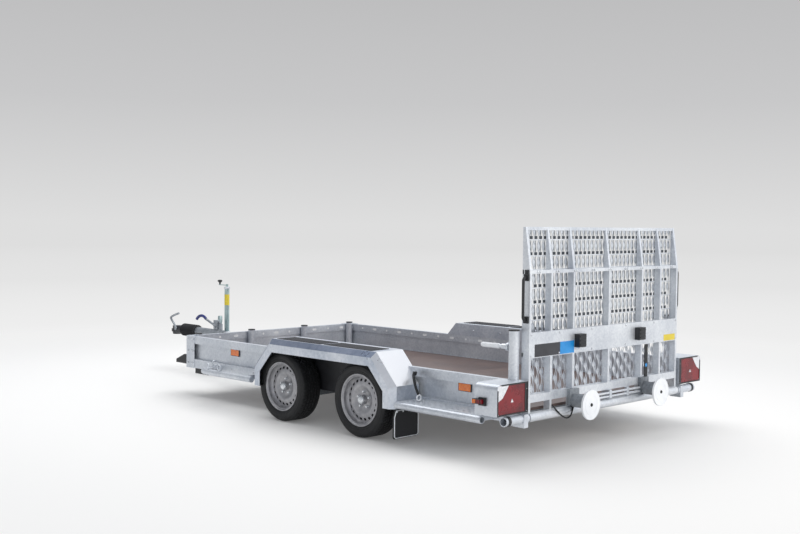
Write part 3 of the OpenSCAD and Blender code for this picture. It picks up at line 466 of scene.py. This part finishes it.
ramp = {"back": -1705.0, "side": 870.0}
ribs = [-870 + 10, -642, -404, 0, 404, 642, 870 - 10]
screws("jointScrews", [(x + s, ramp["back"], 1190) for x in np.arange(-780, 781, 195) for s in (-12, 12)],
       (0, -1, 0), 6.5, body="ramp")
screws("bandRivets", [(x, ramp["back"], z) for x in (-850, -560, -200, 200, 560, 850) for z in (664, 796)],
       (0, -1, 0), 5.5, body="ramp")
for side in (-1, 1):
    tag = "left" if side < 0 else "right"
    screws("cornerBolts_" + tag, [(side * 943, y, z) for y in (1852, 1912) for z in (285, 390, 490)],
           (side, 0, 0), 8)
    screws("stepBolts_" + tag, [(side * 940, y, 282) for y in (1010, 1300)], (side, 0, 0), 7)
    screws("guardScrews_" + tag, [(side * 903, y, 560) for y in (300, 0, -300)], (-side, 0, 0), 7)
    screws("flapScrews_" + tag, [(side * x, -827, 236) for x in (985, 1040, 1095, 1150)], (0, -1, 0), 6)
screws("frontBolts", mirrored([(x, 1941, z) for x in (846, 915) for z in (285, 390, 490)]), (0, 1, 0), 8)
screws("clampBolts", mirrored([(72, y, 358) for y in (2760, 2960)]), (0, 0, 1), 9)
screws("lampScrews", mirrored([(x, -1718.2, z) for x in (905, 1177) for z in (332, 470)]), (0, -1, 0), 3)
print("fasteners made")


# Lashing slots: stadium plates, length along the board, 0.6 mm thick; u = h/2 cos a + sign(cos a) (l - h)/2
def slotPlates(name, places, length, height, along, out):
    a = (np.arange(20) + 0.5) / 20 * 2 * np.pi
    u = height / 2 * np.cos(a) + np.sign(np.cos(a)) * (length - height) / 2
    v = height / 2 * np.sin(a)
    out, along = np.asarray(out, float), np.asarray(along, float)
    up = np.cross(out, along)
    ring = u[:, None] * along + v[:, None] * up
    rows = np.stack([0.001 * ring, ring, ring + 0.6 * out, 0.001 * ring + 0.6 * out])
    grids = np.asarray(places, float).reshape(-1, 1, 1, 3) + rows[None]
    # The plates are painted light, in the near-white finish
    addGrids(name, grids, paintedPaleLight, "chassis")


lashing = {"pitch": 165.0, "first": 1874.0, "count": 21, "long": 48.0, "short": 20.0, "height": 20.0, "z": 481.0}
at = lashing["first"] - lashing["pitch"] * np.arange(lashing["count"])
for side in (-1, 1):
    tag = "Left" if side < 0 else "Right"
    for start, size in ((0, "long"), (1, "short")):
        places = [(side * 900, y, lashing["z"]) for y in at[start::2]]
        slotPlates(size + "Slots" + tag, places, lashing[size], lashing["height"], (0, 1, 0), (-side, 0, 0))
frontLong = [(x, 1898, lashing["z"]) for x in (0, -455, 455, -795, 795)]
frontShort = [(x, 1898, lashing["z"]) for x in (-150, 150, -625, 625)]
slotPlates("longSlotsFront", frontLong, lashing["long"], lashing["height"], (1, 0, 0), (0, -1, 0))
slotPlates("shortSlotsFront", frontShort, lashing["short"], lashing["height"], (1, 0, 0), (0, -1, 0))
print("lashing slots made")

# Painted shade: a black sheet on the boards inside both wheel arches, where the arches lie in shade
archShade = {"face": 940.2, "thick": 1.6, "ends": (-670.0, 670.0), "low": 248.0, "high": 508.0}
sheets = [[(min(s * archShade["face"], s * (archShade["face"] + archShade["thick"])), archShade["ends"][0], archShade["low"]),
           (max(s * archShade["face"], s * (archShade["face"] + archShade["thick"])), archShade["ends"][1], archShade["high"])]
          for s in (-1, 1)]
addBoxes("archShadeSheets", sheets, blackPlastic, "chassis", bevel=0.4)
print("wheel arch liners made")

# Tail lamps: clear corner, dark inner band and small reflector on the red lens
lens = {"face": -1718.0, "thick": 1.6}
front, behind = lens["face"], lens["face"] - lens["thick"]


# Flat plates with the outline (x, z), between two values of y
def platesXZ(name, outlines, y1, y2, material, body, bevel=0.5):
    grids = []
    for outline in outlines:
        outline = np.asarray(outline, float)
        centre = outline.mean(axis=0)
        x, z = outline.T
        area = (x * np.roll(z, -1) - z * np.roll(x, -1)).sum()
        if area > 0:
            outline = outline[::-1]
        small = centre + 0.001 * (outline - centre)
        rows = [(small, y1), (outline, y1), (outline, y2), (small, y2)]
        grids.append([np.stack([o[:, 0], 0 * o[:, 0] + y, o[:, 1]], -1) for o, y in rows])
    return addGrids(name, grids, material, body, sharp=30)


corner = [(1184, 508), (1078, 508), (1112, 462), (1140, 430), (1184, 408), (1187, 470)]
inner = [(897, 324), (923, 324), (923, 506), (897, 506)]
spot = [(1060, 398), (1034, 398), (1047, 420)]
for name, outline, material, slotName in (("clearCorner", corner, clearLens, "white_plastic"),
                                          ("lampBand", inner, blackPlastic, "black_plastic"),
                                          ("lampSpot", spot, clearLens, "white_plastic")):
    outline = np.array(outline, float)
    platesXZ(name, [outline, outline * (-1, 1)], behind, front + 0.2, material, "chassis")

lampFrames = []
for s in (-1, 1):
    for x1, x2, z1, z2 in ((893, 1189, 321, 330), (893, 1150, 505, 514), (893, 902, 330, 505), (1180, 1189, 330, 480)):
        x1, x2 = sorted((s * x1, s * x2))
        lampFrames.append([(x1, -1722.5, z1), (x2, -1717, z2)])
addBoxes("lampFrames", lampFrames, blackPlastic, "chassis", bevel=1.5)

# Marker lamps: a red lens to the rear and a clear one to the front of each arm
rearLens = [[(1199, -1619, 391), (1221, -1609, 419)], [(-1221, -1619, 391), (-1199, -1609, 419)]]
frontLens = [[(1199, -1545, 391), (1221, -1537, 419)], [(-1221, -1545, 391), (-1199, -1537, 419)]]
sideRed = [[(1220, -1606, 393), (1224, -1578, 417)], [(-1224, -1606, 393), (-1220, -1578, 417)]]
sideAmber = [[(1220, -1574, 393), (1224, -1546, 417)], [(-1224, -1574, 393), (-1220, -1546, 417)]]
addBoxes("markerSideRed", sideRed, redLens, "chassis", bevel=1.2)
addBoxes("markerSideAmber", sideAmber, amberLens, "chassis", bevel=1.2)
addBoxes("markerRed", rearLens, redLens, "chassis", bevel=3)
addBoxes("markerClear", frontLens, clearLens, "chassis", bevel=3)

# Number-plate lamps: hood rib, clear window under the hood
addBoxes("plateWindow", [[(s * 355 - 30, -1740, 684), (s * 355 + 30, -1712, 690)] for s in (-1, 1)], clearLens,
         "ramp", bevel=2)
addBoxes("plateHood", [[(s * 355 - 34, -1750, z), (s * 355 + 34, -1743, z + 9)] for s in (-1, 1)
         for z in (702, 728, 754)], blackPlastic, "ramp", bevel=2.5)

# Reflector holders: thin black frames round the orange faces
holders = []
for s in (-1, 1):
    for y in (1280.0, -1219.0):
        x1, x2 = sorted((s * 913, s * 923))
        for a, b, c, d in ((-55, 55, 394, 397), (-55, 55, 445, 449), (-55, -52, 397, 445), (52, 55, 397, 445)):
            holders.append([(x1, y + a, c), (x2, y + b, d)])
addBoxes("reflectorFrames", holders, blackPlastic, "chassis", bevel=0.8)

# Blank vinyl labels on the ramp's band, 0.8 mm thick
label = {"y1": -1705.9, "y2": -1705.05}
addBoxes("labelDark", [[(-814, label["y1"], 654), (-550, label["y2"], 734)]], darkVinyl, "ramp", bevel=0.2)
addBoxes("labelBlue", [[(-549.8, label["y1"], 654), (-398, label["y2"], 734)]], blueVinyl, "ramp", bevel=0.2)
addBoxes("labelYellow", [[(692, label["y1"], 655), (843, label["y2"], 700)]], yellowVinyl, "ramp", bevel=0.2)
print("lamps and labels made")

# Mudflaps: a raised border round each flap, 7 mm inside its edge, near white as a painted highlight
flap = [(951, 71), (961, 61), (1166, 61), (1176, 71), (1176, 200), (1160, 243), (967, 243), (951, 200)]
edge = np.array([(x, -829.0, z) for x, z in flap + flap[:1]], float)
line = np.concatenate([np.linspace(p, q, 7)[:-1] for p, q in zip(edge[:-1], edge[1:])] + [edge[-1:]])
border = np.concatenate([tubeGrid(line * (s, 1, 1), 4.6, 8, (0, 1, 0), 0.6) for s in (-1, 1)])
addGrids("flapBorder", border, paintedPaleLight, "chassis")
weight = [[(s * 1063 - 96, -831, 57), (s * 1063 + 96, -828, 60)] for s in (-1, 1)]
addBoxes("flapWeight", weight, moulded, "chassis", bevel=0.8)

# Rubber strap that ends in a ring on the side step
strap = {"width": 34.0, "ring": 19.0, "wire": 5.0}
path = smoothPath([(-962, -812, 470), (-985, -826, 478), (-1012, -842, 462), (-1040, -884, 410), (-1050, -915, 368),
                   (-1050, -926, 350)])
addGrids("rubberStrap", tubeGrid(path, strap["width"] / 2, 10, (0.9, 0.4, 0), 0.4), moulded, "chassis")
a = np.linspace(0, 2 * np.pi, 37)[:-1]
b = np.linspace(0, 2 * np.pi, 13)[:-1]
R = strap["ring"] + strap["wire"] * np.cos(b)[:, None]
ring = np.stack([-1050 + R * np.cos(a), -929 + 0.001 * a + strap["wire"] * np.sin(b)[:, None] + 0 * R,
                 331 + R * np.sin(a)], -1)[None]
addGrids("strapRing", ring, whitePlastic, "chassis", closeRows=True)

# Lashing rings that stand on the bent side tubes
eye = {"radius": 24.0, "wire": 6.0}
R = eye["radius"] + eye["wire"] * np.cos(b)[:, None]
eyes = []
for s in (-1, 1):
    for cx, cy, turn in ((1000.0, 1446.0, 0.0), (1150.0, 1330.0, 1.2), (1150.0, 1180.0, 1.4)):
        flatX, up = R * np.cos(a), R * np.sin(a)
        deep = eye["wire"] * np.sin(b)[:, None] + 0 * R
        eyes.append(np.stack([s * (cx + flatX * math.cos(turn) - deep * math.sin(turn)),
                              cy + s * (flatX * math.sin(turn) + deep * math.cos(turn)), 326 + up], -1))
addGrids("lashingRings", np.array(eyes), galvanised, "chassis", closeRows=True)

# Drawbar head: toothed sector, handbrake lever with its curved grip, coupling lever
brake = {"y": 2820.0, "z": 475.0, "sector": 58.0, "teeth": 12, "bend": 110.0, "from": 40.0, "to": 133.0, "grip": 14.0}
teeth = np.arange(2 * brake["teeth"] + 1)
reach = brake["sector"] - 5.0 * (teeth % 2)
turn = np.radians(teeth * 75 / brake["teeth"])
sector = np.concatenate([[(-24, -40), (24, -40)], np.stack([reach * np.cos(turn), reach * np.sin(turn)], -1), [(-24, 20)]])


# Flat plate with the outline (y, z), between two values of x
def plateYZ(name, outline, x1, x2, material):
    outline = np.asarray(outline, float)
    y, z = outline.T
    if (y * np.roll(z, -1) - z * np.roll(y, -1)).sum() < 0:
        outline = outline[::-1]
    centre = outline.mean(axis=0)
    small = centre + 0.001 * (outline - centre)
    rows = [(small, x1), (outline, x1), (outline, x2), (small, x2)]
    grid = np.stack([np.stack([0 * o[:, 0] + x, o[:, 0], o[:, 1]], -1) for o, x in rows])[None]
    return addGrids(name, grid, material, "chassis", sharp=30)


plateYZ("brakeSector", sector + (brake["y"], brake["z"]), -7.5, 7.5, castZinc)
bendAt = np.array([brake["y"] + 230, brake["z"] - 25])
angle = np.radians(np.linspace(brake["to"], brake["from"], 25))
arc = np.stack([-20 + 0 * angle, bendAt[0] + brake["bend"] * np.cos(angle), bendAt[1] + brake["bend"] * np.sin(angle)], -1)
addGrids("brakeGrip", tubeGrid(arc, brake["grip"], 20), bluePlastic, "chassis")
leverPath = np.array([(-20, brake["y"] - 10, brake["z"] - 8), (-20, brake["y"] + 30, brake["z"] + 12),
                      tuple(arc[0] - (0, 2, 1)), tuple(arc[1])])
addGrids("brakeLever", tubeGrid(smoothPath(leverPath), 11, 12, (1, 0, 0), 1.0), castZinc, "chassis")
nose = 3522.0
couplingPath = smoothPath([(-52, nose - 62, 410), (-52, nose - 44, 440), (-52, nose + 12, 492), (-52, nose + 20, 514),
                           (-52, nose - 40, 540), (-52, nose - 117, 563)])
addGrids("couplingLever", tubeGrid(couplingPath, 10.5, 14), castZinc, "chassis")
addTurned("leverPivot", [(0.01, 0), (17, 0), (17, 12), (15, 14), (0.01, 14)], [(-46, nose - 62, 408)], (-1, 0, 0),
          castZinc, "chassis")

# Jockey wheel: tube collar, top cap, crank knob and a plain yellow band; tread and hub on the wheel
jockey = (150.0, 2867.0)
addTurned("jockeyCollars", [(24.5, 0), (31, 0), (32, 2), (32, 38), (31, 40), (24.5, 40)],
          [(jockey[0], jockey[1], z) for z in (328, 372)], (0, 0, 1), galvanised, "chassis", closed=True)
addTurned("jockeyTop", [(24.4, 0), (29, 0), (29.5, 2), (29.5, 18), (27, 21), (24.4, 21)],
          [(jockey[0], jockey[1], 828)], (0, 0, 1), galvanised, "chassis", closed=True)
addTurned("crankKnob", [(0.01, 0), (8, 0), (8.5, 14), (14, 22), (22, 27), (23.5, 33), (22, 40), (14, 44), (0.01, 45)],
          [(jockey[0], jockey[1] + 118, 868.4)], (0, 0, 1), blackPlastic, "chassis")
addTurned("jockeyBand", [(24.3, 0), (24.7, 0), (24.7, 106), (24.3, 106)], [(jockey[0], jockey[1], 668)], (0, 0, 1),
          yellowVinyl, "chassis", closed=True)
tread = [(70, -29), (106, -29), (110, -24), (110, -8), (108.2, -7), (108.2, 7), (110, 8), (110, 24), (106, 29), (70, 29)]
addTurned("jockeyTread", tread, [(jockey[0], jockey[1] - 45, 110)], (1, 0, 0), moulded, "jockey_wheel",
          steps=64, closed=True)
hub = [(8.2, 29.2), (62, 29.2), (66, 30.4), (66, 31.4), (60, 31.6), (24, 30.6), (20, 33), (8.2, 33)]
for side in (-1, 1):
    addTurned("jockeyHub_" + ("left" if side < 0 else "right"), hub, [(jockey[0], jockey[1] - 45, 110)], (side, 0, 0),
              plated, "jockey_wheel", closed=True)
addTurned("clampScrew", [(0.01, 0), (18, 0), (19, 4), (19, 150), (22, 152), (22, 200), (18, 211), (0.01, 212)],
          [(98, 2908, 351)], (0, 0, 1), passivated, "chassis")
print("drawbar head made")

# Ramp handles: black brackets at both ends of each handle
bracket = [[(s * 876 - 7, -1701, z - 22), (s * 876 + 7, -1661, z + 22)] for s in (-1, 1) for z in (891, 1156)]
addBoxes("handleBrackets", bracket, blackPlastic, "ramp", bevel=5)
addBoxes("jointBlocks", [[(s * 875 - 5, -1697, 1178), (s * 875 + 5, -1669, 1204)] for s in (-1, 1)], blackPlastic,
         "ramp", bevel=3)
# Spring rods between the two leg brackets, with a clamp in the middle
rods = [tubeGrid(np.stack([np.linspace(-366, 366, 5), np.full(5, -1718.0), np.full(5, z)], -1), 8, 16, (0, 1, 0))
        for z in (326.0, 350.0)]
addGrids("springRods", np.concatenate(rods), brightZinc, "ramp")
addBoxes("rodClamps", [[(x - 14, -1729, 312), (x + 14, -1705, 371)] for x in (-210, 0, 210)], galvanised, "ramp",
         bevel=3)
addBoxes("rampStrap", [[(438, -1711, 392), (477, -1705.2, 648)]], moulded, "ramp", bevel=1.5)
addTurned("strapSpot", [(0.01, 0), (13, 0), (13.5, 1), (12, 2.4), (0.01, 2.8)], [(457, -1711, 500)], (0, -1, 0),
          blueVinyl, "ramp")
# Latches: ribbed pale grips on the draw rods, and black rings round the hinge tube
ribLine = [(12.2, 0), (15, 2)]
for i in range(9):
    ribLine += [(16.6, 8 + 15 * i), (16.6, 15 + 15 * i), (15.2, 17 + 15 * i), (15.2, 21 + 15 * i)]
ribLine += [(15, 148), (12.2, 150)]
addTurned("latchGrips", ribLine, mirrored([(909, -1502, 715)]), (0, 1, 0), whitePlastic, "chassis",
          closed=True)
addTurned("latchCollars", [(18.3, 0), (25, 0), (27, 3), (27, 16), (24, 19), (18.3, 19)], mirrored([(909, -1581, 715)]),
          (0, 1, 0), galvanised, "chassis", closed=True)
addTurned("hingeRings", [(30.2, 0), (32.5, 0), (32.5, 24), (30.2, 24)], [(s * 1060 + (0 if s > 0 else -24), -1698, 279)
          for s in (-1, 1)], (1, 0, 0), blackPlastic, "chassis", closed=True)
# Foot discs: a hub screw and a round lip on each white disc
addTurned("footScrews", [(0.01, 0), (12, 0), (12, 3), (9, 6), (0.01, 6.5)], mirrored([(416, -1862, 330)]), (0, -1, 0),
          blackPlastic, "ramp", steps=6)
for radius, name in ((62, "footRings"), (93, "footLips")):
    addTurned(name, [(radius, -1), (radius + 4, -1), (radius + 4, 1.2), (radius, 1.2)], mirrored([(416, -1862, 330)]),
              (0, -1, 0), whitePlastic, "ramp", steps=48, closed=True)
print("ramp fittings made")

# Studio: pale floor that turns to the backdrop's tone with distance, soft sky, one large light on the rear
size = 90.0
mesh = bpy.data.meshes.new("studioFloor")
mesh.from_pydata([(-size, -size, 0), (size, -size, 0), (size, size, 0), (-size, size, 0)], [], [(0, 1, 2, 3)])
floorObject = bpy.data.objects.new("studioFloor", mesh)
bpy.context.scene.collection.objects.link(floorObject)
paper = bpy.data.materials.new("studio paper")
paper.use_nodes = True
tree = paper.node_tree
tree.nodes.clear()
place = addNode(tree, "ShaderNodeTexCoord").outputs["Object"]
away = addNode(tree, "ShaderNodeVectorMath", {"operation": "LENGTH"}, {0: place}).outputs["Value"]
fade = addNode(tree, "ShaderNodeMapRange", {"From Min": 0.0, "From Max": 60.0}, {"Value": away})
tones = addNode(tree, "ShaderNodeValToRGB", None, {"Fac": fade.outputs[0]})
tones.color_ramp.elements[0].color = linear("#fefefe")
tones.color_ramp.elements[1].color = linear("#dedede")
for part, tone in ((0.045, "#fdfdfd"), (0.07, "#f8f8f8"), (0.13, "#eeeeee"), (0.34, "#e4e4e4")):
    tones.color_ramp.elements.new(part).color = linear(tone)
blend = addNode(tree, "ShaderNodeMapRange", {"From Min": 3.2, "From Max": 7.0, "To Min": 0.1, "interpolation_type": "SMOOTHSTEP"},
                {"Value": away})
shader = addNode(tree, "ShaderNodeBsdfPrincipled",
                 {"Base Color": linear("#efeeec"), "Roughness": 0.9, "Specular IOR Level": 0.1})
lit = addNode(tree, "ShaderNodeEmission", {"Strength": 1.0}, {"Color": tones.outputs["Color"]})
both = addNode(tree, "ShaderNodeMixShader", None, {0: blend.outputs[0], 1: shader.outputs[0], 2: lit.outputs[0]})
addNode(tree, "ShaderNodeOutputMaterial", None, {"Surface": both.outputs[0]})
mesh.materials.append(paper)

# The sky is even for light and reflections; the camera sees it darken upwards from the horizon
world = bpy.data.worlds.new("studio")
bpy.context.scene.world = world
world.use_nodes = True
tree = world.node_tree
tree.nodes.clear()
direction = addNode(tree, "ShaderNodeTexCoord").outputs["Generated"]
height = addNode(tree, "ShaderNodeSeparateXYZ", None, {0: direction}).outputs["Z"]
climb = addNode(tree, "ShaderNodeMapRange", {"From Min": 0.0, "From Max": 0.2}, {"Value": height})
tones = addNode(tree, "ShaderNodeValToRGB", None, {"Fac": climb.outputs[0]})
tones.color_ramp.elements[0].color = linear("#dedede")
tones.color_ramp.elements[1].color = linear("#bebebf")
middleTone = tones.color_ramp.elements.new(0.55)
middleTone.color = linear("#c8c8c9")
seen = addNode(tree, "ShaderNodeBackground", {"Strength": 1.0}, {"Color": tones.outputs["Color"]})
# The studio is brighter to the right and rear of the trailer, as strength = 1.08 + 0.4 (x - y) / sqrt(2)
aside = addNode(tree, "ShaderNodeVectorMath", {"operation": "DOT_PRODUCT", 1: (0.283, -0.283, 0.0)}, {0: direction})
bright = addNode(tree, "ShaderNodeMath", {"operation": "ADD", 1: 1.08}, {0: aside.outputs["Value"]})
# Its ceiling is darker: the strength falls by 0.5 z
ceiling = addNode(tree, "ShaderNodeMapRange", {"From Max": 1.0, "To Max": 0.5}, {"Value": height})
level = addNode(tree, "ShaderNodeMath", {"operation": "SUBTRACT"}, {0: bright.outputs[0], 1: ceiling.outputs[0]})
sky = addNode(tree, "ShaderNodeBackground", {"Color": linear("#eef1f6")}, {"Strength": level.outputs[0]})
ray = addNode(tree, "ShaderNodeLightPath").outputs["Is Camera Ray"]
both = addNode(tree, "ShaderNodeMixShader", None, {0: ray, 1: sky.outputs[0], 2: seen.outputs[0]})
addNode(tree, "ShaderNodeOutputWorld", None, {"Surface": both.outputs[0]})


def areaLight(name, place, target, size, power, colour):
    data = bpy.data.lights.new(name, "AREA")
    data.shape = "DISK"
    data.size = size
    data.energy = power
    data.color = linear(colour)[:3]
    lamp = bpy.data.objects.new(name, data)
    bpy.context.scene.collection.objects.link(lamp)
    lamp.location = place
    lamp.rotation_euler = (Vector(target) - Vector(place)).to_track_quat("-Z", "Y").to_euler()


areaLight("key", (1.0, -9.5, 4.2), (0, -1.6, 0.8), 4.0, 200, "#fffaf4")
areaLight("top", (0.4, 1.0, 6.5), (0, 0, 0.3), 8.0, 330, "#ffffff")
bpy.context.scene.view_settings.view_transform = "Standard"
print("studio made")
